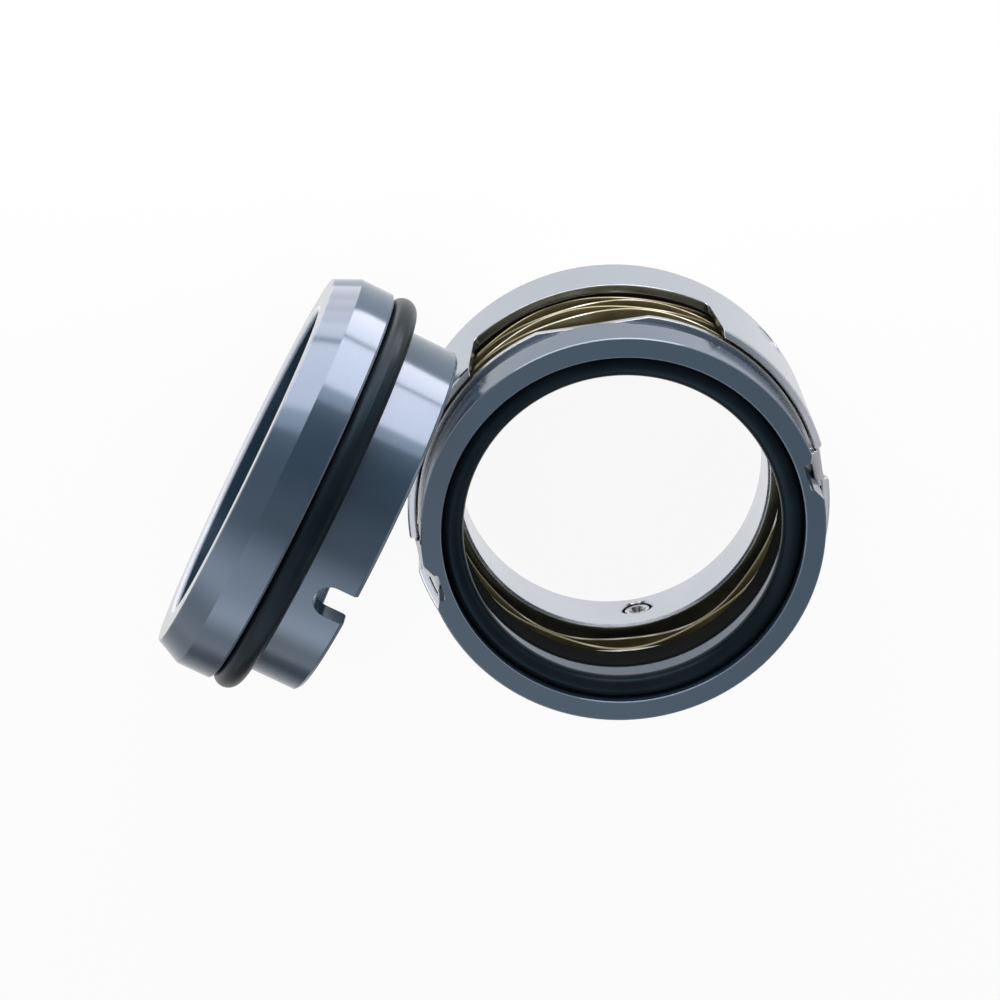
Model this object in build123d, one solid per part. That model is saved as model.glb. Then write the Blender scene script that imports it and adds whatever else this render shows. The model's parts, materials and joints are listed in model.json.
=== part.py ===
from build123d import *
import os
from math import asin, atan2, cos, hypot, radians, sin, sqrt

# Component mechanical seal for a 60 mm shaft: a rotary unit and its stationary seat.
#
# Z is the axis of the rotary unit, upwards. The origin is the centre of the drive
# collar's rear face, on which the unit stands. The seat stands on its rim beside it.
# All sizes are in millimetres, all angles in degrees.

# ---- drive collar: a thick ring with a castellated skirt ----
SHAFT_D = 60.0
COLLAR_OD = 80.0
COLLAR_BASE_H = 13.5
COLLAR_CHAMFER = 0.8
COLLAR_BORE_CHAMFER = 0.5
SKIRT_WALL = 1.6
SKIRT_H = 16.1
SKIRT_RIM_CHAMFER = 0.3
WINDOW_ANGLE = 98.5
WINDOW_W_MOUTH = 48.0
WINDOW_W_FLOOR = 45.0
WINDOW_SILL = 2.1
WINDOW_CORNER_R = 1.2
SLOT_ANGLE = 11.7
SLOT_W = 8.0
SLOT_SILL = 5.1
SLOT_CORNER_R = 0.8
LUG_CORNER_R = 0.6
NIB_W = 1.7
NIB_H = 2.0

# ---- set screws in the collar ----
SCREW_COUNT = 3
SCREW_FIRST_ANGLE = 40.5
SCREW_Z = 5.4
SCREW_D = 6.0
SCREW_L = 8.0
SCREW_CLEAR = 0.04
SCREW_TIP_INSIDE = 0.4
SCREW_POINT_CHAMFER = 0.9
SCREW_END_CHAMFER = 0.4
SCREW_CUP_D = 3.4
SCREW_CUP_DEPTH = 0.9
SCREW_HEX = 3.0
SCREW_HEX_DEPTH = 3.4
HOLE_COUNTERSINK = 0.5

# ---- wave spring ----
SPRING_SPACE_H = 15.5
SPRING_TURNS = 4
SPRING_WAVES = 6.5
SPRING_WIRE_T = 0.8
SPRING_START_ANGLE = -1.8
SPRING_SKIRT_CLEAR = 0.5
SPRING_HUB_CLEAR = 0.25
SPRING_TURN_GAP = 0.05
SPRING_SEAT_GAP = 0.1
SPRING_POINTS_PER_WAVE = 8

# ---- drive ring ----
RING_T = 1.5
RING_SKIRT_CLEAR = 0.3
RING_FLAT_CUT = 1.5
HUB_SHAFT_CLEAR = 0.6
HUB_WALL = 0.8
HUB_DROP = 3.1
TAB_T = 0.9
TAB_SPRING_CLEAR = 0.15
TAB_SLOT_CLEAR = 0.3
TAB_NIB_GAP = 0.1
TAB_FOOT_H = 1.5
TAB_ROOT = 2.0
TONGUE_T = 1.1
TONGUE_W = 6.6
TONGUE_TURN = 1.8
TONGUE_SKIRT_CLEAR = 0.2
TONGUE_BAND_GAP = 0.5
DOG_W = 2.4
DOG_H = 5.5
DOG_FLOOR_CLEAR = 0.35
DOG_SIDE_CLEAR = 0.3

# ---- seal face ----
FACE_LENGTH = 12.95
FACE_SKIRT_CLEAR = 0.8
FACE_EDGE = 0.2
FACE_BAND_H = 9.7
FACE_BAND_STEP = 0.7
FLANGE_H = 5.7
FLANGE_SHAFT_CLEAR = 0.9
NOTCH_TURN = 5.5
NOTCH_W = 5.2
NOTCH_DEPTH = 2.3
NOTCH_CORNER_R = 0.5
NOTCH_LOW_FLARE_W = 3.0
NOTCH_LOW_FLARE_DEPTH = 1.6
NOTCH_HIGH_FLARE_W = 2.1
NOTCH_HIGH_FLARE_DEPTH = 1.0
HUB_FIT_CLEAR = 0.3
REST_GAP = 0.05

# ---- shaft O-ring ----
SHAFT_O_RING_SECTION = 4.13
SHAFT_O_RING_STRETCH = 0.35
SHAFT_O_RING_SUNK = 1.05
O_RING_GAP = 0.04

# ---- seat and its O-ring ----
SEAT_LENGTH = 26.8
SEAT_SHAFT_CLEAR = 0.6
SEAT_TAIL_WALL = 3.9
SEAT_FLANGE_STEP = 4.7
SEAT_BEVEL_W = 2.3
SEAT_BEVEL_L = 4.8
SEAT_FLANGE_L = 6.7
SEAT_FLANGE_CHAMFER = 0.4
SEAT_TAIL_CHAMFER = 0.6
SEAT_BORE_CHAMFER = 0.4
SEAT_SLOT_W = 6.2
SEAT_SLOT_L = 7.0
SEAT_SLOT_ANGLE = -10.5
SEAT_O_RING_SECTION = 5.1

# ---- how the seat stands beside the rotary unit ----
SEAT_FACING = 153.4
SEAT_OFFSET = 19.2
SEAT_COLLAR_GAP = 0.3

# ---- radii that follow ----
bore_r = SHAFT_D / 2
collar_r = COLLAR_OD / 2
skirt_in_r = collar_r - SKIRT_WALL
ring_out_r = skirt_in_r - RING_SKIRT_CLEAR
hub_in_r = bore_r + HUB_SHAFT_CLEAR
hub_out_r = hub_in_r + HUB_WALL
spring_out_r = skirt_in_r - SPRING_SKIRT_CLEAR
spring_in_r = hub_out_r + SPRING_HUB_CLEAR
flat_out_r = skirt_in_r - FACE_SKIRT_CLEAR
notch_in_r = flat_out_r - NOTCH_DEPTH
shaft_ring_in_r = bore_r - SHAFT_O_RING_STRETCH
flat_in_r = shaft_ring_in_r + SHAFT_O_RING_SECTION + O_RING_GAP
seat_bore_r = bore_r + SEAT_SHAFT_CLEAR
tail_r = seat_bore_r + SEAT_TAIL_WALL
flange_r = tail_r + SEAT_FLANGE_STEP

# ---- heights that follow ----
skirt_top_z = COLLAR_BASE_H + SKIRT_H
window_floor_z = COLLAR_BASE_H + WINDOW_SILL
slot_floor_z = COLLAR_BASE_H + SLOT_SILL
slot_top_z = skirt_top_z - NIB_H
ring_back_z = COLLAR_BASE_H + SPRING_SPACE_H
ring_top_z = ring_back_z + RING_T
face_back_z = ring_top_z + REST_GAP
face_z = face_back_z + FACE_LENGTH
band_z = face_z - FACE_BAND_H
flange_top_z = face_z - SHAFT_O_RING_SUNK - SHAFT_O_RING_SECTION - O_RING_GAP
flange_back_z = flange_top_z - FLANGE_H
hub_top_z = flange_back_z - REST_GAP

# ---- places along the seat, from its running face ----
flange_back_s = SEAT_BEVEL_L + SEAT_FLANGE_L
seat_ring_section_r = SEAT_O_RING_SECTION / 2
seat_ring_r = tail_r + O_RING_GAP + seat_ring_section_r
seat_ring_s = flange_back_s + O_RING_GAP + seat_ring_section_r

FROM_BASE = (Align.CENTER, Align.CENTER, Align.MIN)


def turned(*points):
    """A ring turned from a closed (radius, height) outline."""
    return revolve(Plane.XZ * make_face(Polyline(*points, close=True)), Axis.Z)


def facing(angle, height=0.0):
    """A plane through the axis that looks outwards at an angle; its y is up."""
    out = Vector(cos(radians(angle)), sin(radians(angle)), 0)
    return Plane(origin=(0, 0, height), x_dir=Vector(0, 0, 1).cross(out), z_dir=out)


def both_sides(angle):
    """The two planes, half a turn apart, at which a drive feature repeats."""
    return [facing(angle), facing(angle + 180)]


def outline(points, radius=0.0, rounded=()):
    """A closed face; the corners named by their place in the list are rounded."""
    face = make_face(Polyline(*points, close=True))
    if not rounded:
        return face
    ends = face.vertices()
    corners = [min(ends, key=lambda v: (Vector(v) - Vector(*points[i])).length) for i in rounded]
    return fillet(corners, radius)


def screw_planes():
    """The outward plane of each set screw, at the screws' height."""
    return [facing(SCREW_FIRST_ANGLE + i * 360 / SCREW_COUNT, SCREW_Z) for i in range(SCREW_COUNT)]


def make_drive_collar():
    """Turned blank, then windows, drive slots with their nibs, and screw holes."""
    rim = SKIRT_RIM_CHAMFER
    edge = COLLAR_BORE_CHAMFER
    body = turned(
        (bore_r + edge, 0),
        (collar_r - COLLAR_CHAMFER, 0),
        (collar_r, COLLAR_CHAMFER),
        (collar_r, skirt_top_z - rim),
        (collar_r - rim, skirt_top_z),
        (skirt_in_r + rim, skirt_top_z),
        (skirt_in_r, skirt_top_z - rim),
        (skirt_in_r, COLLAR_BASE_H),
        (bore_r + edge, COLLAR_BASE_H),
        (bore_r, COLLAR_BASE_H - edge),
        (bore_r, edge),
    )
    above = skirt_top_z + 1
    reach = collar_r + 1
    floor = WINDOW_W_FLOOR / 2
    mouth = WINDOW_W_MOUTH / 2
    lean = (mouth - floor) / (skirt_top_z - window_floor_z)
    window = outline([
        (-floor, window_floor_z),
        (floor, window_floor_z),
        (mouth + lean, above),
        (-mouth - lean, above),
    ], WINDOW_CORNER_R, (0, 1))
    for plane in both_sides(WINDOW_ANGLE):
        body -= extrude(plane * window, amount=reach)
    side = SLOT_W / 2
    slot = outline([
        (-side, slot_floor_z),
        (side, slot_floor_z),
        (side, above),
        (-side + NIB_W, above),
        (-side + NIB_W, slot_top_z),
        (-side, slot_top_z),
    ], SLOT_CORNER_R, (0, 1))
    for plane in both_sides(SLOT_ANGLE):
        body -= extrude(plane * slot, amount=reach)
    outer_corners = [
        edge for edge in body.edges().filter_by(Axis.Z)
        if hypot((edge @ 0.5).X, (edge @ 0.5).Y) > collar_r - 0.01 and (edge @ 0.5).Z > slot_floor_z
    ]
    body = fillet(outer_corners, LUG_CORNER_R)
    for plane in screw_planes():
        body -= plane.location * screw_hole()
    return body


def screw_hole():
    """Cutter for a hole along Z through the collar's wall, countersunk at both ends."""
    r = SCREW_D / 2
    wide = r + HOLE_COUNTERSINK
    start = sqrt(bore_r ** 2 - wide ** 2)
    end = sqrt(collar_r ** 2 - wide ** 2)
    return turned(
        (0, start - wide),
        (wide, start - wide),
        (wide, start),
        (r, start + HOLE_COUNTERSINK),
        (r, end - HOLE_COUNTERSINK),
        (wide, end),
        (wide, end + wide),
        (0, end + wide),
    )


def make_set_screw(plane):
    """Grub screw with a cup point towards the shaft and a hexagon socket outside."""
    r = SCREW_D / 2 - SCREW_CLEAR
    tip = bore_r + SCREW_TIP_INSIDE
    end = tip + SCREW_L
    screw = turned(
        (0, tip + SCREW_CUP_DEPTH),
        (SCREW_CUP_D / 2, tip),
        (r - SCREW_POINT_CHAMFER, tip),
        (r, tip + SCREW_POINT_CHAMFER),
        (r, end - SCREW_END_CHAMFER),
        (r - SCREW_END_CHAMFER, end),
        (0, end),
    )
    hexagon = Plane.XY.offset(end) * RegularPolygon(SCREW_HEX / 2, 6, major_radius=False)
    screw -= extrude(hexagon, amount=-SCREW_HEX_DEPTH)
    return plane.location * screw


def make_wave_spring():
    """Flat wire wound on edge: each turn's crests meet the next turn's troughs."""
    low_z = COLLAR_BASE_H + SPRING_SEAT_GAP
    high_z = ring_back_z - SPRING_SEAT_GAP
    rise = (high_z - low_z + SPRING_TURN_GAP) / (SPRING_TURNS + 1 - 0.5 / SPRING_WAVES)
    swing = (rise - SPRING_WIRE_T - SPRING_TURN_GAP) / 2
    steps = int(SPRING_TURNS * SPRING_WAVES * SPRING_POINTS_PER_WAVE)

    def wire_edge(radius, base_z):
        points = []
        for step in range(steps + 1):
            turn = SPRING_TURNS * step / steps
            angle = radians(SPRING_START_ANGLE + 360 * turn)
            wave = swing * (1 - cos(radians(360 * SPRING_WAVES * turn)))
            points.append((radius * cos(angle), radius * sin(angle), base_z + rise * turn + wave))
        return Spline(*points).edge()

    top_z = low_z + SPRING_WIRE_T
    corners = [(spring_in_r, low_z), (spring_out_r, low_z), (spring_out_r, top_z), (spring_in_r, top_z)]
    edges = [wire_edge(radius, base_z) for radius, base_z in corners]
    walls = [Face.make_surface_from_curves(edges[i], edges[(i + 1) % 4]) for i in range(4)]
    for end in (0, 1):
        walls.append(Face(Wire.make_polygon([edge @ end for edge in edges], close=True)))
    return Solid(Shell(walls))


def make_drive_ring():
    """Thin ring with a hub; on each side a hooked tab, a tongue and a dog drive the face."""
    ring = turned(
        (hub_out_r, ring_back_z),
        (ring_out_r, ring_back_z),
        (ring_out_r, ring_top_z),
        (hub_out_r, ring_top_z),
        (hub_out_r, hub_top_z),
        (hub_in_r, hub_top_z),
        (hub_in_r, ring_back_z - HUB_DROP),
        (hub_out_r, ring_back_z - HUB_DROP),
    )
    flat = outline([
        (-collar_r, ring_back_z - 1),
        (collar_r, ring_back_z - 1),
        (collar_r, ring_top_z + 1),
        (-collar_r, ring_top_z + 1),
    ])
    beyond_flat = Pos(0, 0, ring_out_r - RING_FLAT_CUT) * extrude(flat, amount=collar_r)
    for plane in both_sides(WINDOW_ANGLE):
        ring -= plane.location * beyond_flat
    return ring + drive_tabs() + tongues_and_dogs()


def drive_tabs():
    """Tabs that reach into the collar's slots, each with a foot hooked under the nib."""
    in_r = spring_out_r + TAB_SPRING_CLEAR
    side = SLOT_W / 2 - TAB_SLOT_CLEAR
    above_nib = NIB_W + TAB_SLOT_CLEAR - SLOT_W / 2
    foot_top_z = slot_top_z - TAB_NIB_GAP
    hook = outline([
        (-side, foot_top_z - TAB_FOOT_H),
        (side, foot_top_z - TAB_FOOT_H),
        (side, ring_top_z),
        (above_nib, ring_top_z),
        (above_nib, foot_top_z),
        (-side, foot_top_z),
    ])
    root = outline([
        (above_nib, ring_back_z),
        (side, ring_back_z),
        (side, ring_top_z),
        (above_nib, ring_top_z),
    ])
    wall = ring_wall(in_r, in_r + TAB_T)
    root_wall = ring_wall(ring_out_r - TAB_ROOT, in_r + TAB_T)
    tabs = []
    for plane in both_sides(SLOT_ANGLE):
        tabs.append(extrude(plane * hook, amount=collar_r) & wall)
        tabs.append(extrude(plane * root, amount=collar_r) & root_wall)
    return tabs


def tongues_and_dogs():
    """Tongues along the face's outside, and dogs standing in the face's notches."""
    tongue_out_r = skirt_in_r - TONGUE_SKIRT_CLEAR
    tongue = outline([
        (-TONGUE_W / 2, ring_back_z),
        (TONGUE_W / 2, ring_back_z),
        (TONGUE_W / 2, band_z - TONGUE_BAND_GAP),
        (-TONGUE_W / 2, band_z - TONGUE_BAND_GAP),
    ])
    high_side = NOTCH_W / 2 - DOG_SIDE_CLEAR
    dog = outline([
        (high_side - DOG_W, ring_back_z),
        (high_side, ring_back_z),
        (high_side, ring_top_z + DOG_H),
        (high_side - DOG_W, ring_top_z + DOG_H),
    ])
    tongue_wall = ring_wall(tongue_out_r - TONGUE_T, tongue_out_r)
    dog_wall = ring_wall(notch_in_r + DOG_FLOOR_CLEAR, tongue_out_r - TONGUE_T)
    pieces = []
    for plane in both_sides(SLOT_ANGLE + TONGUE_TURN):
        pieces.append(extrude(plane * tongue, amount=collar_r) & tongue_wall)
    for plane in both_sides(SLOT_ANGLE + NOTCH_TURN):
        pieces.append(extrude(plane * dog, amount=collar_r) & dog_wall)
    return pieces


def ring_wall(in_r, out_r):
    """A tall tube between two radii."""
    return Cylinder(out_r, face_z, align=FROM_BASE) - Cylinder(in_r, face_z, align=FROM_BASE)


def make_seal_face():
    """Running ring: lapped flat, O-ring counterbore, backing flange, drive notches."""
    e = FACE_EDGE
    low_r = flat_out_r - FACE_BAND_STEP
    back_r = hub_out_r + HUB_FIT_CLEAR
    flange_in_r = bore_r + FLANGE_SHAFT_CLEAR
    ring = turned(
        (back_r, face_back_z),
        (low_r - e, face_back_z),
        (low_r, face_back_z + e),
        (low_r, band_z),
        (flat_out_r - e, band_z),
        (flat_out_r, band_z + e),
        (flat_out_r, face_z - e),
        (flat_out_r - e, face_z),
        (flat_in_r + e, face_z),
        (flat_in_r, face_z - e),
        (flat_in_r, flange_top_z),
        (flange_in_r + e, flange_top_z),
        (flange_in_r, flange_top_z - e),
        (flange_in_r, flange_back_z + e),
        (flange_in_r + e, flange_back_z),
        (back_r, flange_back_z),
    )
    side = NOTCH_W / 2
    beyond = flat_out_r + 1
    low_flare_r = flat_out_r - NOTCH_LOW_FLARE_DEPTH
    high_flare_r = flat_out_r - NOTCH_HIGH_FLARE_DEPTH
    low_slope = NOTCH_LOW_FLARE_W / NOTCH_LOW_FLARE_DEPTH
    high_slope = NOTCH_HIGH_FLARE_W / NOTCH_HIGH_FLARE_DEPTH
    notch = outline([
        (notch_in_r, -side),
        (notch_in_r, side),
        (high_flare_r, side),
        (beyond, side + high_slope * (beyond - high_flare_r)),
        (beyond, -side - low_slope * (beyond - low_flare_r)),
        (low_flare_r, -side),
    ], NOTCH_CORNER_R, (0, 1))
    cutter = extrude(Plane.XY.offset(face_back_z) * notch, amount=FACE_LENGTH)
    for half_turn in (0, 180):
        ring -= Rot(0, 0, SLOT_ANGLE + NOTCH_TURN + half_turn) * cutter
    return ring


def make_shaft_o_ring():
    """O-ring lying on the flange in the seal face's counterbore."""
    r = SHAFT_O_RING_SECTION / 2
    return Pos(0, 0, flange_top_z + O_RING_GAP + r) * Torus(shaft_ring_in_r + r, r)


def seat_plane():
    """Where the seat's running face lies: z looks out of it, x is up the face.

    The seat stands on its O-ring and on the corner between bevel and flange, so it
    dips a little. Its rear rim comes close to the collar.
    """
    run = seat_ring_s - SEAT_BEVEL_L
    drop = flange_r - seat_ring_r
    dip = asin(seat_ring_section_r / hypot(run, drop)) - atan2(drop, run)
    out = Vector(cos(radians(SEAT_FACING)), sin(radians(SEAT_FACING)), 0)
    aside = Vector(sin(radians(SEAT_FACING)), -cos(radians(SEAT_FACING)), 0)
    normal = out * cos(dip) - Vector(0, 0, sin(dip))
    rim_lean = sqrt(tail_r ** 2 - SEAT_OFFSET ** 2) * sin(dip)
    rear = out * (collar_r + SEAT_COLLAR_GAP + rim_lean) - aside * SEAT_OFFSET
    front = rear + out * (SEAT_LENGTH * cos(dip))
    height = flange_r * cos(dip) - SEAT_BEVEL_L * sin(dip)
    upright = Vector(0, 0, 1) * cos(dip) + out * sin(dip)
    return Plane(origin=(front.X, front.Y, height), x_dir=upright, z_dir=normal)


def make_seat_ring():
    """Seat with its running face at local z 0 and its tail towards local -z."""
    flat_r = flange_r - SEAT_BEVEL_W
    b = SEAT_BORE_CHAMFER
    seat = turned(
        (seat_bore_r + b, 0),
        (flat_r, 0),
        (flange_r, -SEAT_BEVEL_L),
        (flange_r, -flange_back_s + SEAT_FLANGE_CHAMFER),
        (flange_r - SEAT_FLANGE_CHAMFER, -flange_back_s),
        (tail_r, -flange_back_s),
        (tail_r, -SEAT_LENGTH + SEAT_TAIL_CHAMFER),
        (tail_r - SEAT_TAIL_CHAMFER, -SEAT_LENGTH),
        (seat_bore_r + b, -SEAT_LENGTH),
        (seat_bore_r, -SEAT_LENGTH + b),
        (seat_bore_r, -b),
    )
    end_r = SEAT_SLOT_W / 2
    round_z = -SEAT_LENGTH + SEAT_SLOT_L - end_r
    below = -SEAT_LENGTH - 1
    slot = make_face(Polyline((-end_r, round_z), (-end_r, below), (end_r, below), (end_r, round_z))
                     + ThreePointArc((end_r, round_z), (0, round_z + end_r), (-end_r, round_z)))
    seat -= extrude(facing(SEAT_SLOT_ANGLE) * slot, amount=flange_r)
    return seat_plane().location * seat


def make_seat_o_ring():
    """O-ring on the seat's tail, against the back of the flange."""
    ring = Pos(0, 0, -seat_ring_s) * Torus(seat_ring_r, seat_ring_section_r)
    return seat_plane().location * ring


def main():
    pieces = {
        "drive_collar": make_drive_collar(),
        "wave_spring": make_wave_spring(),
        "drive_ring": make_drive_ring(),
        "seal_face": make_seal_face(),
        "shaft_o_ring": make_shaft_o_ring(),
        "seat_ring": make_seat_ring(),
        "seat_o_ring": make_seat_o_ring(),
    }
    for number, plane in enumerate(screw_planes(), start=1):
        pieces[f"set_screw_{number}"] = make_set_screw(plane)
    os.makedirs("parts", exist_ok=True)
    for name, piece in pieces.items():
        export_step(piece, f"parts/{name}.step")


main()
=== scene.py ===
import json
from math import cos, pi, radians, sqrt

import bmesh
import bpy
from mathutils import Matrix, Vector


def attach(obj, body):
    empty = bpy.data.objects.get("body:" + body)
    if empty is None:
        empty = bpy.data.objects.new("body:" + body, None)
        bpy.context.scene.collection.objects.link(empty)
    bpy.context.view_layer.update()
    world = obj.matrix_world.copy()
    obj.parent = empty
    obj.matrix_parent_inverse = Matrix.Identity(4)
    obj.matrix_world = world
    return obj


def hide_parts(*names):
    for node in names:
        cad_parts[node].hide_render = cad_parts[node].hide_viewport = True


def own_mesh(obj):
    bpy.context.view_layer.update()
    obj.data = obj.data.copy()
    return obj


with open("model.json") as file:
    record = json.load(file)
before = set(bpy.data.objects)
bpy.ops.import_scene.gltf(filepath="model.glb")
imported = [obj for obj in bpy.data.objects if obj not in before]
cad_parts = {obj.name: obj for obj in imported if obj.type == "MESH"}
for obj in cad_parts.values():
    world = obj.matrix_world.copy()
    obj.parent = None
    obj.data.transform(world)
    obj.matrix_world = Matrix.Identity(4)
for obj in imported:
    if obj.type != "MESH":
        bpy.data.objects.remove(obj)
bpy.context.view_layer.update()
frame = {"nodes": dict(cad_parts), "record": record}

# ---- Camera ----
# A long lens looks down steeply on the rotary unit, rolled so that +Y points upwards.
# Places and sizes are in metres, on the CAD's axes. Finishes measure in millimetres, so
# their values have MM in the name or in the comment beside them.
CAMERA_PLACE = Vector((-0.03838, 0.19788, 0.59302))
CAMERA_TARGET = Vector((-0.02228, -0.00146, 0.0200))
CAMERA_UP = Vector((0.00753, 0.94452, -0.32835))
CAMERA_LENS = 113.76

bpy.ops.object.camera_add()
camera = bpy.context.object
camera.name = "camera"
camera.data.lens = CAMERA_LENS
camera.data.sensor_width = 36
camera.data.clip_start = 0.01
look = (CAMERA_TARGET - CAMERA_PLACE).normalized()
across = look.cross(CAMERA_UP).normalized()
camera_turn = Matrix((across, across.cross(look), -look)).transposed()
camera.matrix_world = Matrix.Translation(CAMERA_PLACE) @ camera_turn.to_4x4()
bpy.context.scene.camera = camera
bpy.context.scene.view_settings.view_transform = "Standard"


# ---- Floor and studio ----
# A white table in a white studio with a dark ceiling, a bright wall on the -X -Y side,
# and soft lamps on the +Y side, upright and flat on the table. Near the object the
# table shows the soft shadow, and further away it goes over into the background.
FLOOR_RADIUS = 6
FLOOR_COLOUR = (0.86, 0.86, 0.87)
FLOOR_GLOW_NEAR = 0.91
FLOOR_FADE = (0.14, 0.50)
FLOOR_IN_GLOSS = (0.15, 0.15, 0.16)
FLOOR_GLOSS_RISE = (-0.16, -0.02)
FLOOR_GLOSS_SIDE = (-0.25, -0.11)
ROOM_LIGHT = 0.75
CEILING = 0.25
CEILING_RISE = (0.25, 0.75)
BOUNCE_FROM = (-0.497, -0.709, 0.5)
BOUNCE_RISE = (0.58, 0.97)
BOUNCE = (0.30, 1.5)
BOUNCE_FOOT = (0.03, 0.45)
WHITE = (1, 1, 1)
WARM = (1.0, 0.895, 0.86)
UPRIGHT_LAMP_Y = 0.200
UPRIGHT_LAMPS = (
    # name, x, z, width, height, radiance, colour
    ("key_right", 0.0425, 0.063, 0.085, 0.122, 6.8, WARM),
    ("key_left", -0.0825, 0.063, 0.165, 0.122, 5.2, WARM),
    ("key_top", -0.040, 0.144, 0.250, 0.040, 1.8, WHITE),
)
TABLE_LAMP_Z = 0.002
TABLE_LAMPS = (
    # name, left, right, near, far, radiance
    ("low_right", -0.020, 0.064, 0.084, 0.175, 6.6),
    ("low_left_1", -0.082, -0.045, 0.055, 0.075, 1.5),
    ("low_left_2", -0.082, -0.045, 0.075, 0.095, 2.3),
    ("low_left_3", -0.082, -0.020, 0.095, 0.120, 3.2),
    ("low_left_4", -0.082, -0.020, 0.120, 0.175, 4.3),
)


class Shade:
    """A socket of a shader tree, on which sums are written as expressions."""

    def __init__(self, tree, socket=None):
        self.tree = tree
        self.socket = socket

    def set(self, made, sockets):
        """Gives a node's sockets their values, or links them; a bare colour gets alpha 1."""
        for name, value in sockets.items():
            socket = made.inputs[name]
            if isinstance(value, Shade):
                self.tree.links.new(value.socket, socket)
            elif isinstance(value, tuple) and len(socket.default_value) == 4:
                socket.default_value = (*value[:3], 1)
            else:
                socket.default_value = value

    def node(self, kind, settings, sockets, output=0):
        """Adds a node: its settings first, then the values or links of its sockets."""
        made = self.tree.nodes.new("ShaderNode" + kind)
        for name, value in settings.items():
            setattr(made, name, value)
        self.set(made, sockets)
        return Shade(self.tree, made.outputs[output])

    def math(self, operation, a, b=0.0):
        return self.node("Math", {"operation": operation}, {0: a, 1: b})

    def __add__(self, other):
        return self.math("ADD", self, other)

    def __sub__(self, other):
        return self.math("SUBTRACT", self, other)

    def __rsub__(self, other):
        return self.math("SUBTRACT", other, self)

    def __mul__(self, other):
        return self.math("MULTIPLY", self, other)

    def __truediv__(self, other):
        return self.math("DIVIDE", self, other)

    __radd__ = __add__
    __rmul__ = __mul__

    def rise(self, low, high):
        """0 below low, 1 above high, and smooth between them."""
        smooth = {"interpolation_type": "SMOOTHSTEP"}
        return self.node("MapRange", smooth, {0: self, 1: low, 2: high})

    def near(self, place, reach):
        """1 within a third of the reach of a place, and 0 beyond the reach."""
        return 1 - self.math("ABSOLUTE", self - place).rise(reach / 3, reach)

    def blend(self, a, b):
        """Colour a where this is 0, and b where it is 1."""
        return self.node("Mix", {"data_type": "RGBA"}, {0: self, 6: a, 7: b}, 2)

    def vector(self, operation, a, b=(0, 0, 0), output=0):
        return self.node("VectorMath", {"operation": operation}, {0: a, 1: b}, output)

    def noise(self, at, scale, detail=3.0, roughness=0.5):
        return self.node("TexNoise", {}, {"Vector": at, "Scale": scale, "Detail": detail,
                                          "Roughness": roughness})


def rays(start, *kinds):
    """1 for rays of these kinds, and 0 for the others."""
    path = start.node("LightPath", {}, {}).socket.node
    found = 0.0
    for kind in kinds:
        found = start.math("MAXIMUM", Shade(start.tree, path.outputs[f"Is {kind} Ray"]), found)
    return found


world = bpy.data.worlds.new("studio")
world.use_nodes = True
bpy.context.scene.world = world
start = Shade(world.node_tree)
seen = rays(start, "Camera", "Glossy", "Transmission")
direction = start.node("TexCoord", {}, {}, "Generated")
height = start.node("SeparateXYZ", {}, {0: direction}, 2)
towards_wall = start.vector("DOT_PRODUCT", direction, BOUNCE_FROM, "Value")
wall = towards_wall.rise(0.0, BOUNCE_RISE[0]) * BOUNCE[0]
wall = wall + towards_wall.rise(*BOUNCE_RISE) * BOUNCE[1]
room = 1 - height.rise(*CEILING_RISE) * (1 - CEILING) + wall * height.rise(*BOUNCE_FOOT)
start.set(world.node_tree.nodes["Background"],
          {"Color": WHITE, "Strength": seen * room + (1 - seen) * ROOM_LIGHT})

bpy.ops.object.select_all(action="DESELECT")
bpy.ops.mesh.primitive_circle_add(vertices=96, radius=FLOOR_RADIUS, fill_type="NGON")
floor = bpy.context.object
floor.name = "floor"
white_table = bpy.data.materials.new("white_table")
white_table.use_nodes = True
table = white_table.node_tree.nodes["Principled BSDF"]
start = Shade(white_table.node_tree)
start.set(table, {"Base Color": FLOOR_COLOUR, "Roughness": 0.9, "Specular IOR Level": 0.0})
here = start.node("TexCoord", {}, {}, "Object")
away = start.vector("LENGTH", here, output="Value")
sideways, forwards = (start.node("SeparateXYZ", {}, {0: here}, axis) for axis in (0, 1))
shady_side = (1 - forwards.rise(*FLOOR_GLOSS_RISE)) * sideways.rise(*FLOOR_GLOSS_SIDE)
glowing = start.node("Emission", {}, {
    "Color": (rays(start, "Glossy") * shady_side).blend(WHITE, FLOOR_IN_GLOSS),
    "Strength": 1.0,
})
glow = FLOOR_GLOW_NEAR + (1 - FLOOR_GLOW_NEAR) * away.rise(*FLOOR_FADE)
seen = rays(start, "Camera", "Glossy", "Transmission")
table = Shade(start.tree, table.outputs[0])
surface = start.node("MixShader", {}, {0: glow * seen, 1: table, 2: glowing})
start.set(white_table.node_tree.nodes["Material Output"], {"Surface": surface})
floor.data.materials.append(white_table)


def softbox(name, place, towards, size, radiance, colour):
    """A soft rectangular lamp of a given brightness; the camera doesn't see it."""
    bpy.ops.object.light_add(type="AREA", location=place)
    lamp = bpy.context.object
    lamp.name = name
    lamp.data.shape = "RECTANGLE"
    lamp.data.size, lamp.data.size_y = size
    lamp.data.energy = radiance * pi * size[0] * size[1]
    lamp.data.color = colour
    lamp.rotation_euler = (Vector(towards) - Vector(place)).to_track_quat("-Z", "Y").to_euler()
    lamp.visible_camera = False


for name, x, z, wide, high, radiance, colour in UPRIGHT_LAMPS:
    softbox(name, (x, UPRIGHT_LAMP_Y, z), (x, 0.0, z), (wide, high), radiance, colour)
for name, left, right, near, far, radiance in TABLE_LAMPS:
    x, y = (left + right) / 2, (near + far) / 2
    softbox(name, (x, y, TABLE_LAMP_Z), (x, y, 1.0), (right - left, far - near), radiance, WARM)


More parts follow.
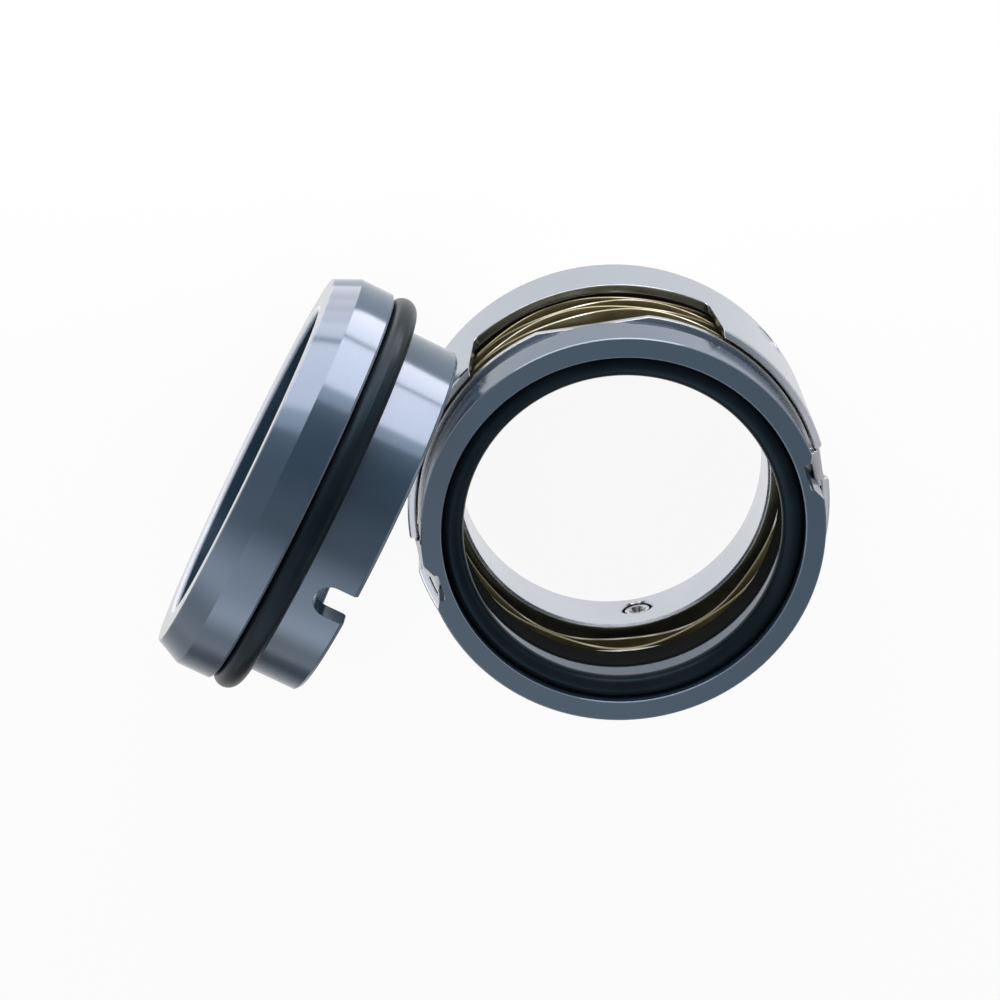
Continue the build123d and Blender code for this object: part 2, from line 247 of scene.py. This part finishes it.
# ---- Drive collar ----
# A thick ring of stainless steel with a thin skirt, turned from bar, then milled for
# the windows, the drive slots and their nibs, and drilled and tapped for set screws.
STEEL_COLOUR = (0.62, 0.655, 0.71)
STEEL_DARK = (0.54, 0.57, 0.625)
STEEL_OUTSIDE = (0.375, 0.42, 0.485)
STEEL_IN_SHADE = (0.17, 0.175, 0.155)
STEEL_EDGE_R = 0.00028
TURNING_ERROR = 0.24
MM_IN_METRE = 1000
COLLAR_BORE_R_MM = 30.0
SKIRT_INNER_R_MM = 38.4
SKIRT_OUTER_R_MM = 40.0
WINDOW_SILL_MM = 15.6


def new_finish(name, **constants):
    """A material, its Principled shader with constants set, and a Shade to start from."""
    finish = bpy.data.materials.new(name)
    finish.use_nodes = True
    shader = finish.node_tree.nodes["Principled BSDF"]
    start = Shade(finish.node_tree)
    start.set(shader, {key.replace("_", " "): value for key, value in constants.items()})
    return finish, shader, start


def turned_places(start, centre=(0, 0, 0), turn=(0, 0, 0)):
    """Where a point is on a turned piece: its place, radius, height and angle, in mm."""
    here = start.node("TexCoord", {}, {}, "Object")
    here = start.node("Mapping", {"vector_type": "TEXTURE"}, {
        "Vector": here, "Location": centre, "Rotation": turn, "Scale": (1 / MM_IN_METRE,) * 3})
    parts = start.node("SeparateXYZ", {}, {0: here})
    x, y, height = (Shade(start.tree, parts.socket.node.outputs[i]) for i in range(3))
    radius = start.math("SQRT", x * x + y * y)
    return here, radius, height, start.math("ARCTAN2", y, x)


def tool_lines(start, radius, height, angle, pitch, waver=1.5):
    """Fine lines that run round a turned or ground surface, wavering a little."""
    at = start.node("CombineXYZ", {}, {0: radius / pitch, 1: height / pitch, 2: angle * waver})
    return start.noise(at, 1.0, 4.0, 0.65)


def soft_edges(start, edge):
    """The normal, with hard edges rounded by this radius."""
    return start.node("Bevel", {"samples": 4}, {"Radius": edge})


def turned_normal(start, edge, centre=(0, 0, 0), axis=(0, 0, 1)):
    """The same normal, without its small sideways errors on surfaces that were turned."""
    soft = soft_edges(start, edge)
    here = start.vector("SUBTRACT", start.node("TexCoord", {}, {}, "Object"), centre)
    around = start.vector("NORMALIZE", start.vector("CROSS_PRODUCT", axis, here))
    lean = start.vector("DOT_PRODUCT", soft, around, "Value")
    lean = lean * lean.near(0.0, TURNING_ERROR)
    error = start.node("VectorMath", {"operation": "SCALE"}, {0: around, "Scale": lean})
    return start.vector("NORMALIZE", start.vector("SUBTRACT", soft, error))


def relief(start, height, strength, depth, normal=None):
    """Fine relief on this normal, or else on the surface's own."""
    under = {} if normal is None else {"Normal": normal}
    return start.node("Bump", {}, {"Strength": strength, "Distance": depth, "Height": height,
                                   **under})


def dress(node, finish):
    """Gives a CAD node its finish."""
    for slot in frame["nodes"][node].material_slots:
        slot.material = finish


steel, shader, start = new_finish("turned_stainless", Metallic=1.0)
here, radius, height, angle = turned_places(start)
lines = tool_lines(start, radius, height, angle, 0.22)
cloud = start.noise(here, 0.06, 2.0)
handled = start.noise(here, 0.35, 4.0, 0.6)
outside = radius.rise(SKIRT_OUTER_R_MM - 0.35, SKIRT_OUTER_R_MM - 0.1)
in_bore = 1 - radius.rise(COLLAR_BORE_R_MM + 0.3, COLLAR_BORE_R_MM + 0.8)
on_skirt = radius.rise(SKIRT_INNER_R_MM, SKIRT_INNER_R_MM + 0.15)
on_sill = on_skirt * height.near(WINDOW_SILL_MM, 1.0)
in_shade = (1 - on_skirt + on_sill) * (1 - outside) * (1 - in_bore)
tone = cloud.rise(0.25, 0.8) * 0.5 + lines.rise(0.35, 0.75) * 0.3
colour = tone.blend(STEEL_COLOUR, STEEL_DARK)
colour = (in_shade * 0.85).blend(colour, STEEL_IN_SHADE)
colour = (outside * 0.8).blend(colour, STEEL_OUTSIDE)
start.set(shader, {
    "Base Color": colour,
    "Roughness": 0.20 + lines * 0.06 + handled.rise(0.5, 0.8) * 0.05,
    "Normal": relief(start, lines, 0.3, 0.000008, turned_normal(start, STEEL_EDGE_R)),
})
dress("drive_collar", steel)


# ---- Set screws ----
# Three stainless grub screws, rolled thread, hexagon socket outside and a cup point
# that bites into the shaft. They sit in the collar's cross holes, a third of a turn apart.
MERGE_WITHIN = 0.000004
SCREW_COUNT = 3
SCREW_FIRST_ANGLE = radians(40.5)
SCREW_HEIGHT = 0.0054
SCREW_TIP = 0.0304
SCREW_LENGTH = 0.008
SCREW_CORE_R = 0.00242
SCREW_THREAD_R = 0.00294
THREAD_PITCH = 0.001
THREAD_START = 0.0001
THREAD_RUNOUT = 0.0006
THREAD_ROOT_W = 0.00082
THREAD_CREST_SHARE = 0.16
THREAD_SUNK = 0.00005
THREAD_STEPS = 48
POINT_INSIDE = 0.0004
POINT_SLOPE = 1.1
HEAD_BEVEL = 0.0005
HEAD_SLOPE = 1.2
HEAD_CROWN_W = 0.00025
HEAD_CROWN_H = 0.00003
CUP_R = 0.0017
CUP_EDGE_W = 0.0001
CUP_DEPTH = 0.0013
CUP_FLOOR_SHARE = 0.5
SOCKET_ACROSS = 0.003
SOCKET_DEPTH = 0.0034
SCREW_BRIGHT = (0.66, 0.68, 0.71)
SCREW_DULL = (0.34, 0.35, 0.37)


def pick(piece, kind, test):
    """In edit mode, selects just the vertices, edges or faces that pass a test."""
    bpy.ops.mesh.select_mode(type=kind)
    bpy.ops.mesh.select_all(action="DESELECT")
    shape = bmesh.from_edit_mesh(piece.data)
    parts = {"VERT": shape.verts, "EDGE": shape.edges, "FACE": shape.faces}[kind]
    for part in parts:
        part.select_set(bool(test(part)))
    bmesh.update_edit_mesh(piece.data)


def apply_place(piece):
    """Puts the piece's place, turn and size into its mesh."""
    bpy.ops.object.select_all(action="DESELECT")
    piece.select_set(True)
    bpy.context.view_layer.objects.active = piece
    bpy.ops.object.transform_apply(location=True, rotation=True, scale=True)


def tidy_shell(smooth_angle):
    """Merges doubles, turns the normals outwards and smooths the active piece."""
    bpy.ops.object.mode_set(mode="EDIT")
    bpy.ops.mesh.select_all(action="SELECT")
    bpy.ops.mesh.remove_doubles(threshold=MERGE_WITHIN)
    bpy.ops.mesh.normals_make_consistent(inside=False)
    bpy.ops.object.mode_set(mode="OBJECT")
    bpy.ops.object.shade_smooth_by_angle(angle=radians(smooth_angle))


# the core, its axis along Z, from a rod whose two ends are shaped
bpy.ops.object.select_all(action="DESELECT")
bpy.ops.mesh.primitive_cylinder_add(vertices=64, radius=SCREW_CORE_R, depth=SCREW_LENGTH,
                                    location=(0, 0, SCREW_TIP + SCREW_LENGTH / 2))
screw = bpy.context.object
apply_place(screw)
bpy.ops.object.mode_set(mode="EDIT")
pick(screw, "FACE", lambda face: face.normal.z < -0.9)
bpy.ops.mesh.inset(thickness=SCREW_CORE_R - CUP_R - CUP_EDGE_W)
bpy.ops.mesh.inset(thickness=CUP_EDGE_W)
bpy.ops.mesh.extrude_region_move(TRANSFORM_OT_translate={"value": (0, 0, CUP_DEPTH)})
bpy.ops.transform.resize(value=(CUP_FLOOR_SHARE, CUP_FLOOR_SHARE, 1))
pick(screw, "FACE", lambda face: face.normal.z > 0.9)
bpy.ops.mesh.inset(thickness=HEAD_CROWN_W)
bpy.ops.transform.translate(value=(0, 0, HEAD_CROWN_H))
bpy.ops.object.mode_set(mode="OBJECT")
bpy.ops.mesh.primitive_cylinder_add(vertices=6, radius=SOCKET_ACROSS / sqrt(3),
                                    depth=2 * SOCKET_DEPTH,
                                    location=(0, 0, SCREW_TIP + SCREW_LENGTH))
hexagon = bpy.context.object
bpy.context.view_layer.objects.active = screw
cut = screw.modifiers.new("socket", "BOOLEAN")
cut.object = hexagon
cut.solver = "EXACT"
bpy.ops.object.modifier_apply(modifier="socket")
bpy.data.objects.remove(hexagon)

# the thread, a triangular ridge wound round the core
thread_z = SCREW_TIP + THREAD_START
bpy.ops.object.select_all(action="DESELECT")
bpy.ops.mesh.primitive_plane_add(size=THREAD_ROOT_W, rotation=(pi / 2, 0, 0),
                                 location=(SCREW_CORE_R, 0, thread_z))
ridge = bpy.context.object
apply_place(ridge)
for v in ridge.data.vertices:
    crest = v.co.x > SCREW_CORE_R
    v.co.x = SCREW_THREAD_R if crest else SCREW_CORE_R - THREAD_SUNK
    v.co.z = thread_z + (v.co.z - thread_z) * (THREAD_CREST_SHARE if crest else 1)
bpy.ops.object.mode_set(mode="EDIT")
bpy.ops.mesh.select_all(action="SELECT")
bpy.ops.mesh.delete(type="ONLY_FACE")
bpy.ops.object.mode_set(mode="OBJECT")
turns = int((SCREW_LENGTH - THREAD_RUNOUT) / THREAD_PITCH)
winding = ridge.modifiers.new("thread", "SCREW")
winding.axis = "Z"
winding.angle = turns * 2 * pi
winding.screw_offset = turns * THREAD_PITCH
winding.steps = winding.render_steps = turns * THREAD_STEPS
bpy.ops.object.modifier_apply(modifier="thread")
bpy.ops.object.mode_set(mode="EDIT")
bpy.ops.mesh.select_all(action="SELECT")
bpy.ops.mesh.fill_holes(sides=0)
bpy.ops.object.mode_set(mode="OBJECT")
for v in ridge.data.vertices:
    from_tip = v.co.z - SCREW_TIP
    limit = min(SCREW_CORE_R - POINT_INSIDE + max(from_tip, 0) * POINT_SLOPE,
                SCREW_THREAD_R - max(from_tip - SCREW_LENGTH + HEAD_BEVEL, 0) * HEAD_SLOPE)
    reach = v.co.to_2d().length
    if reach > limit:
        v.co.x, v.co.y = v.co.x * limit / reach, v.co.y * limit / reach
    v.co.z = SCREW_TIP + min(max(from_tip, THREAD_SUNK), SCREW_LENGTH - THREAD_SUNK)
ridge.select_set(True)
screw.select_set(True)
bpy.context.view_layer.objects.active = screw
bpy.ops.object.join()
tidy_shell(smooth_angle=30)

screw_steel, shader, start = new_finish("bright_screw_steel", Metallic=1.0)
here = start.node("TexCoord", {}, {}, "Object")
grain = start.noise(here, 5200.0, 3.0)
patches = start.noise(here, 700.0, 2.0)
start.set(shader, {
    "Base Color": patches.rise(0.35, 0.7).blend(SCREW_BRIGHT, SCREW_DULL),
    "Roughness": 0.16 + grain * 0.14,
    "Normal": relief(start, grain, 0.4, 0.00001),
})
screw.data.materials.append(screw_steel)

for number in range(SCREW_COUNT):
    placed = screw if number == SCREW_COUNT - 1 else screw.copy()
    if placed is not screw:
        placed.data = screw.data.copy()
        bpy.context.scene.collection.objects.link(placed)
    outwards = SCREW_FIRST_ANGLE + number * 2 * pi / SCREW_COUNT
    placed.name = f"grub_screw_{number + 1}"
    laid_down = Matrix.Rotation(outwards, 4, "Z") @ Matrix.Rotation(pi / 2, 4, "Y")
    placed.matrix_world = Matrix.Translation((0, 0, SCREW_HEIGHT)) @ laid_down
    apply_place(placed)
    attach(placed, "collar")
    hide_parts(f"set_screw_{number + 1}")


# ---- Wave spring ----
# Flat spring wire wound on edge in four turns, each waved so that its crests meet the
# troughs of the next. It is tempered, which leaves a straw-brown film on the flats.
SPRING_INNER_R = 0.03165
SPRING_OUTER_R = 0.0379
SPRING_WIRE_T = 0.0008
SPRING_WIRE_CORNER = 0.0002
SPRING_LOW = 0.0136
SPRING_HIGH = 0.0289
SPRING_TURNS = 4
SPRING_WAVES = 6.5
SPRING_TURN_GAP = 0.00005
SPRING_START = radians(-1.8)
SPRING_STEPS = 156
FILM_PALE = (0.30, 0.27, 0.15)
FILM_DARK = (0.17, 0.155, 0.085)
FILM_ROLLED = (0.38, 0.36, 0.26)
EDGE_FILM = (0.22, 0.205, 0.135)
EDGE_RUBBED_AND_HIGHLIGHT = (0.78, 0.78, 0.72)
TOP_TURN_MM = (21.5, 24.0)

spring_rise = (SPRING_HIGH - SPRING_LOW + SPRING_TURN_GAP) / (SPRING_TURNS + 1 - 0.5 / SPRING_WAVES)
spring_swing = (spring_rise - SPRING_WIRE_T - SPRING_TURN_GAP) / 2
wire_middle = Vector(((SPRING_INNER_R + SPRING_OUTER_R) / 2, 0, SPRING_LOW + SPRING_WIRE_T / 2))

bpy.ops.object.select_all(action="DESELECT")
bpy.ops.mesh.primitive_plane_add(size=1, rotation=(pi / 2, 0, 0), location=wire_middle)
spring = bpy.context.object
spring.name = "flat_wire_spring"
spring.scale = (SPRING_OUTER_R - SPRING_INNER_R, SPRING_WIRE_T, 1)
apply_place(spring)
bpy.ops.object.mode_set(mode="EDIT")
bpy.ops.mesh.select_all(action="SELECT")
bpy.ops.mesh.bevel(offset=SPRING_WIRE_CORNER, segments=3, affect="VERTICES")
bpy.ops.mesh.select_all(action="SELECT")
bpy.ops.mesh.delete(type="ONLY_FACE")
bpy.ops.object.mode_set(mode="OBJECT")
spring.rotation_euler = (0, 0, SPRING_START)
apply_place(spring)
winding = spring.modifiers.new("turns", "SCREW")
winding.axis = "Z"
winding.angle = SPRING_TURNS * 2 * pi
winding.screw_offset = SPRING_TURNS * spring_rise
winding.steps = winding.render_steps = SPRING_TURNS * SPRING_STEPS
bpy.ops.object.modifier_apply(modifier="turns")
bpy.ops.object.mode_set(mode="EDIT")
bpy.ops.mesh.select_all(action="SELECT")
bpy.ops.mesh.fill_holes(sides=0)
bpy.ops.object.mode_set(mode="OBJECT")
for v in spring.data.vertices:
    part_turn = (Vector((v.co.x, v.co.y)).angle_signed(Vector((1, 0))) - SPRING_START) / (2 * pi)
    climbed = (v.co.z - wire_middle.z) / spring_rise
    turn = part_turn + round(climbed - part_turn)
    v.co.z += spring_swing * (1 - cos(2 * pi * SPRING_WAVES * turn))
tidy_shell(smooth_angle=40)

tempered, shader, start = new_finish("tempered_spring_wire", Metallic=1.0)
here, radius, height, angle = turned_places(start)
rolling = tool_lines(start, radius, height * 0.2, angle, 0.16, 0.8)
film = start.noise(here, 0.16, 3.0)
middle = (SPRING_INNER_R + SPRING_OUTER_R) * MM_IN_METRE / 2
half = (SPRING_OUTER_R - SPRING_INNER_R) * MM_IN_METRE / 2
bright_edge = start.math("ABSOLUTE", radius - middle).rise(half - 0.22, half - 0.08)
flats = film.rise(0.3, 0.75).blend(FILM_PALE, FILM_DARK)
flats = (rolling.rise(0.5, 0.8) * 0.5).blend(flats, FILM_ROLLED)
along_edge = start.node("CombineXYZ", {}, {0: angle * 1.6, 1: height * 0.35})
rubbed = start.noise(along_edge, 1.0, 2.0).rise(0.5, 0.72)
# the inner edge of the top turns gets a painted highlight; elsewhere the light edge colour is
# rubbed wear
top_inside_highlight = height.rise(*TOP_TURN_MM) * (1 - radius.rise(middle - 1, middle))
edge = start.math("MAXIMUM", rubbed, top_inside_highlight).blend(EDGE_FILM, EDGE_RUBBED_AND_HIGHLIGHT)
start.set(shader, {
    "Base Color": bright_edge.blend(flats, edge),
    "Roughness": 0.24 + rolling * 0.18,
    "Normal": relief(start, rolling, 0.5, 0.00001),
})
spring.data.materials.append(tempered)
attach(spring, "collar")
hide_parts("wave_spring")
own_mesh(spring)


# ---- Drive ring ----
# Thin stainless ring, deep drawn and stamped, with the tabs that drive it in the collar's slots
# and the tongues and dogs that drive the seal face; its hub is painted near-black as shade.
HUB_OUTER_R_MM = 31.4
SHEET_EDGE_R = 0.00022
SHEET_PALE = (0.60, 0.625, 0.66)
SHEET_DULL = (0.44, 0.46, 0.48)
HUB_PAINTED_SHADE = (0.006, 0.007, 0.007)

sheet_steel, shader, start = new_finish("stamped_stainless", IOR=1.0)
here, radius, height, angle = turned_places(start)
drawn = tool_lines(start, radius, height, angle, 0.35, 5.0)
grain = start.noise(here, 6.0, 4.0, 0.6)
cloud = start.noise(here, 0.12, 3.0)
# painted shade: the hub is near-black, rough and not metallic, standing for the dark inside of the
# unit
hub = 1 - radius.rise(HUB_OUTER_R_MM - 0.25, HUB_OUTER_R_MM + 0.1)
colour = (cloud.rise(0.25, 0.8) * 0.6 + grain * 0.3).blend(SHEET_PALE, SHEET_DULL)
colour = (hub * 0.98).blend(colour, HUB_PAINTED_SHADE)
start.set(shader, {
    "Base Color": colour,
    "Metallic": 1 - hub,
    "Roughness": 0.22 + grain * 0.10 + hub * 0.30,
    "Normal": relief(start, drawn * 0.6 + grain * 0.4, 0.4, 0.000008,
                     soft_edges(start, SHEET_EDGE_R)),
})
dress("drive_ring", sheet_steel)


# ---- Seal face ----
# A ring of sintered silicon carbide, slate blue and very hard. Its cylinders are
# ground, and its narrow flat is lapped to a silky sheen. It rests on the drive ring.
CARBIDE = (0.010, 0.024, 0.042)
CARBIDE_LIGHT = (0.018, 0.038, 0.064)
CARBIDE_LAPPED = (0.022, 0.046, 0.064)
CARBIDE_SPECK = (0.07, 0.10, 0.14)
CARBIDE_EDGE_HIGHLIGHT = (0.72, 0.78, 0.88)
CARBIDE_EDGE_R = 0.00018
CARBIDE_IOR = 1.95
CARBIDE_SHEEN = (0.64, 0.78, 1.0)


def carbide_finish(name, edges, lapped, centre=(0, 0, 0), turn=(0, 0, 0), axis=(0, 0, 1)):
    """Carbide with fine grain, ground lines, a lapped flat and sharp edges lightened as painted
    highlights.

    edges are (radius, height, width, strength) of the painted edge highlights, and lapped is the
    flat's height, in mm.
    centre, in metres, turn and axis say where the ring lies.
    """
    finish, shader, start = new_finish(name, Metallic=0.0, IOR=CARBIDE_IOR,
                                       Specular_Tint=CARBIDE_SHEEN)
    here, radius, height, angle = turned_places(start, centre, turn)
    ground = tool_lines(start, radius, height, angle, 0.17, 1.2)
    coarse = tool_lines(start, radius, height, angle, 0.8, 0.7)
    grain = start.noise(here, 9.0, 4.0, 0.7)
    specks = start.noise(here, 3.2, 2.0)
    cloud = start.noise(here, 0.07, 3.0)
    flat = height.near(lapped, 0.06)
    colour = (cloud.rise(0.2, 0.8) * 0.6 + grain * 0.4).blend(CARBIDE, CARBIDE_LIGHT)
    colour = (flat * 0.7).blend(colour, CARBIDE_LAPPED)
    colour = (specks.rise(0.68, 0.76) * 0.25).blend(colour, CARBIDE_SPECK)
    # painted highlights: sharp edges are lightened towards pale blue-white, most of all on the
    # seat's bore lip
    edge_highlight = 0.0
    for edge_r, edge_z, width, strength in edges:
        off_r, off_z = radius - edge_r, height - edge_z
        off = start.math("SQRT", off_r * off_r + off_z * off_z)
        edge_highlight = off.near(0.0, width) * strength + edge_highlight
    colour = (start.math("MINIMUM", edge_highlight, 1.0) * (0.65 + grain * 0.3)).blend(colour, CARBIDE_EDGE_HIGHLIGHT)
    marks = (1 - flat) * (ground * 0.7 + coarse * 0.5) + grain * 0.25
    start.set(shader, {
        "Base Color": colour,
        "Roughness": 0.08 + (1 - flat) * (ground * 0.06) + grain * 0.05,
        "Normal": relief(start, marks, 0.4, 0.000008,
                         turned_normal(start, CARBIDE_EDGE_R, centre, axis)),
    })
    return finish


FACE_FLAT_MM = 43.5
FACE_EDGES = (
    # radius, height and width in mm, strength of the painted highlight
    (37.55, 43.45, 0.28, 0.12),
    (33.85, 43.45, 0.26, 0.16),
    (37.5, 33.85, 0.25, 0.12),
    (31.0, 38.2, 0.30, 0.12),
    (36.85, 30.6, 0.25, 0.10),
)
dress("seal_face", carbide_finish("rotary_carbide", FACE_EDGES, FACE_FLAT_MM))


# ---- Shaft O-ring ----
# Moulded fluorocarbon rubber, black with a faint shine. It lies in the seal face's
# counterbore, on the flange, and a thin mould line runs round its inside and outside.
SHAFT_O_RING_SECTION = 0.00413
SHAFT_O_RING_INNER_R = 0.02965
FLANGE_TOP = 0.03828
O_RING_GAP = 0.00004
MOULD_LINE_W = 0.00012
MOULD_LINE_H = 0.00002
RUBBER_BLACK = (0.004, 0.0070, 0.0095)
RUBBER_BLOOM = (0.007, 0.0115, 0.015)
RUBBER_SHEEN = (0.42, 0.74, 1.0)


def moulded_ring(name, inner_r, section, middle_z):
    """A torus round Z with a fine raised mould line inside and outside."""
    bpy.ops.object.select_all(action="DESELECT")
    bpy.ops.mesh.primitive_torus_add(major_radius=inner_r + section / 2, major_segments=192,
                                     minor_radius=section / 2 - MOULD_LINE_H, minor_segments=40,
                                     location=(0, 0, middle_z))
    ring = bpy.context.object
    ring.name = name
    apply_place(ring)

    def on_middle(edge):
        return all(abs(v.co.z - middle_z) < 1e-6 for v in edge.verts)

    bpy.ops.object.mode_set(mode="EDIT")
    pick(ring, "EDGE", on_middle)
    bpy.ops.mesh.bevel(offset=MOULD_LINE_W / 2, segments=2, affect="EDGES")
    pick(ring, "EDGE", on_middle)
    bpy.ops.transform.shrink_fatten(value=MOULD_LINE_H)
    bpy.ops.object.mode_set(mode="OBJECT")
    tidy_shell(smooth_angle=75)
    return ring


rubber, shader, start = new_finish("moulded_rubber", Metallic=0.0, Specular_IOR_Level=0.11,
                                   Specular_Tint=RUBBER_SHEEN)
here = start.node("TexCoord", {}, {}, "Object")
skin = start.noise(here, 3800.0, 3.0, 0.6)
bloom = start.noise(here, 90.0, 3.0)
start.set(shader, {
    "Base Color": bloom.rise(0.3, 0.75).blend(RUBBER_BLACK, RUBBER_BLOOM),
    "Roughness": 0.20 + bloom * 0.10 + skin * 0.08,
    "Normal": relief(start, skin, 0.3, 0.00002),
})

shaft_ring = moulded_ring("inner_o_ring", SHAFT_O_RING_INNER_R, SHAFT_O_RING_SECTION,
                          FLANGE_TOP + O_RING_GAP + SHAFT_O_RING_SECTION / 2)
shaft_ring.data.materials.append(rubber)
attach(shaft_ring, "face_unit")
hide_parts("shaft_o_ring")


# ---- Seat ----
# The stationary ring of the same carbide, loose beside the rotary unit. It stands on
# its rim, with a bevelled flange, a lapped flat and a slot that keeps it from turning.
# Its own axis comes out of the flat, in whose centre its heights are 0.
SEAT_LENGTH = 0.0268
SEAT_EDGES = (
    # radius, height and width in mm, strength of the painted highlight
    (36.9, -0.05, 0.30, 0.14),
    (30.85, -0.25, 0.9, 1.0),
    (39.1, -11.4, 0.36, 0.22),
    (34.3, -26.6, 0.42, 0.20),
    (30.8, -26.7, 0.36, 0.14),
)

bore = next(mount for mount in frame["record"]["mounts"] if mount["name"] == "seat_bore")
seat_axis = Vector(bore["axis"])
seat_place = Vector(bore["pos_m"]) + seat_axis * SEAT_LENGTH / 2
seat_up = (Vector((0, 0, 1)) - seat_axis * seat_axis.z).normalized()
seat_turn = Matrix((seat_up, seat_axis.cross(seat_up), seat_axis)).transposed()
dress("seat_ring", carbide_finish("seat_carbide", SEAT_EDGES, 0.0, tuple(seat_place),
                                  tuple(seat_turn.to_euler()), tuple(seat_axis)))


# ---- Seat O-ring ----
# Thicker ring of the same rubber, pushed along the seat's tail against its flange.
# The seat leans on it.
SEAT_O_RING_SECTION = 0.0051
SEAT_TAIL_R = 0.0345
SEAT_FLANGE_BACK = 0.0115

seat_o_ring = moulded_ring("outer_o_ring", SEAT_TAIL_R + O_RING_GAP, SEAT_O_RING_SECTION,
                           -SEAT_FLANGE_BACK - O_RING_GAP - SEAT_O_RING_SECTION / 2)
seat_o_ring.matrix_world = Matrix.Translation(seat_place) @ seat_turn.to_4x4()
apply_place(seat_o_ring)
seat_o_ring.data.materials.append(rubber)
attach(seat_o_ring, "collar")
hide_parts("seat_o_ring")
